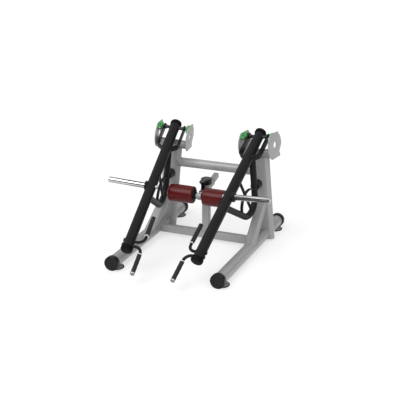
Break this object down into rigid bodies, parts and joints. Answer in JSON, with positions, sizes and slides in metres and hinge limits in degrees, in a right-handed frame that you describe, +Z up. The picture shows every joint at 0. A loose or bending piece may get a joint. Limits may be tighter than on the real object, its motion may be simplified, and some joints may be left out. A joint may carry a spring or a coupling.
{
  "type": "deadlift shrug machine",
  "caption": "Plate-loaded strength machine: a steel frame with pivoting lever arms, weight horns, hand grips and sliding foam thigh rollers.",
  "frame": {"origin": "on the floor, at the centre of the machine's footprint box", "axes": "+Z up; +Y from the hand grips towards the uprights; +X towards the right side as seen from the grips, across the mirror plane"},
  "size_m": [1.4998, 1.7796, 1.0355],
  "materials": {
    "frame_grey": "satin",
    "arm_black": "satin",
    "rubber": "matte",
    "cap_plastic": "satin",
    "bearing_green": "satin",
    "chrome": "polished",
    "black_steel": "satin",
    "foam_red": "satin"
  },
  "bodies": {
    "frame": {"right_floor_tube": "frame_grey", "right_front_cap": "cap_plastic", "right_rear_cap": "cap_plastic", "right_front_foot": "rubber", "right_rear_foot": "rubber", "right_upright": "frame_grey", "right_brace": "frame_grey", "right_saddle": "frame_grey", "right_pivot_plate_outer": "frame_grey", "right_pivot_plate_inner": "frame_grey", "right_bearing_outer": "bearing_green", "right_bearing_inner": "bearing_green", "left_floor_tube": "frame_grey", "left_front_cap": "cap_plastic", "left_rear_cap": "cap_plastic", "left_front_foot": "rubber", "left_rear_foot": "rubber", "left_upright": "frame_grey", "left_brace": "frame_grey", "left_saddle": "frame_grey", "left_pivot_plate_outer": "frame_grey", "left_pivot_plate_inner": "frame_grey", "left_bearing_outer": "bearing_green", "left_bearing_inner": "bearing_green", "upper_crossbeam": "frame_grey", "lower_crossbeam": "frame_grey", "centre_post": "frame_grey", "receiver": "frame_grey", "post_cap": "cap_plastic"},
    "right_arm": {"right_pivot_shaft": "black_steel", "right_arm_tube": "arm_black", "right_arm_top_cap": "cap_plastic", "right_arm_bottom_cap": "cap_plastic", "right_yoke_outer": "arm_black", "right_yoke_inner": "arm_black", "right_truss": "arm_black", "right_bumper": "rubber", "right_weight_horn": "chrome", "right_handle_lower": "arm_black", "right_handle_upper": "arm_black", "right_grip_lower": "rubber", "right_grip_upper": "rubber"},
    "left_arm": {"left_pivot_shaft": "black_steel", "left_arm_tube": "arm_black", "left_arm_top_cap": "cap_plastic", "left_arm_bottom_cap": "cap_plastic", "left_yoke_outer": "arm_black", "left_yoke_inner": "arm_black", "left_truss": "arm_black", "left_bumper": "rubber", "left_weight_horn": "chrome", "left_handle_lower": "arm_black", "left_handle_upper": "arm_black", "left_grip_lower": "rubber", "left_grip_upper": "rubber"},
    "slide": {"slide_bar": "frame_grey"},
    "pin": {"pull_pin": "cap_plastic"},
    "right_roller_body": {"right_roller": "foam_red"},
    "left_roller_body": {"left_roller": "foam_red"}
  },
  "joints": [
    {"name": "right_arm_pivot", "type": "hinge", "parent": "frame", "child": "right_arm", "pos_m": [0.40657, 0.52075, 0.95988], "axis": [-0.9881, 0.1271, -0.0864], "range_deg": [0, 48]},
    {"name": "left_arm_pivot", "type": "hinge", "parent": "frame", "child": "left_arm", "pos_m": [-0.40657, 0.52075, 0.95988], "axis": [-0.9881, -0.1271, 0.0864], "range_deg": [0, 48]},
    {"name": "roller_slide", "type": "slide", "parent": "frame", "child": "slide", "axis": [0, -0.9781, -0.2079], "range_m": [0, 0.15]},
    {"name": "pin_lift", "type": "slide", "parent": "frame", "child": "pin", "axis": [0, -0.2079, 0.9781], "range_m": [0, 0.013], "stiffness_N_per_m": 900, "springref_m": -0.012},
    {"name": "right_roller_spin", "type": "hinge", "parent": "slide", "child": "right_roller_body", "pos_m": [0.16125, 0.11821, 0.48216], "axis": [1, 0, 0], "continuous": true},
    {"name": "left_roller_spin", "type": "hinge", "parent": "slide", "child": "left_roller_body", "pos_m": [-0.16125, 0.11821, 0.48216], "axis": [1, 0, 0], "continuous": true}
  ]
}
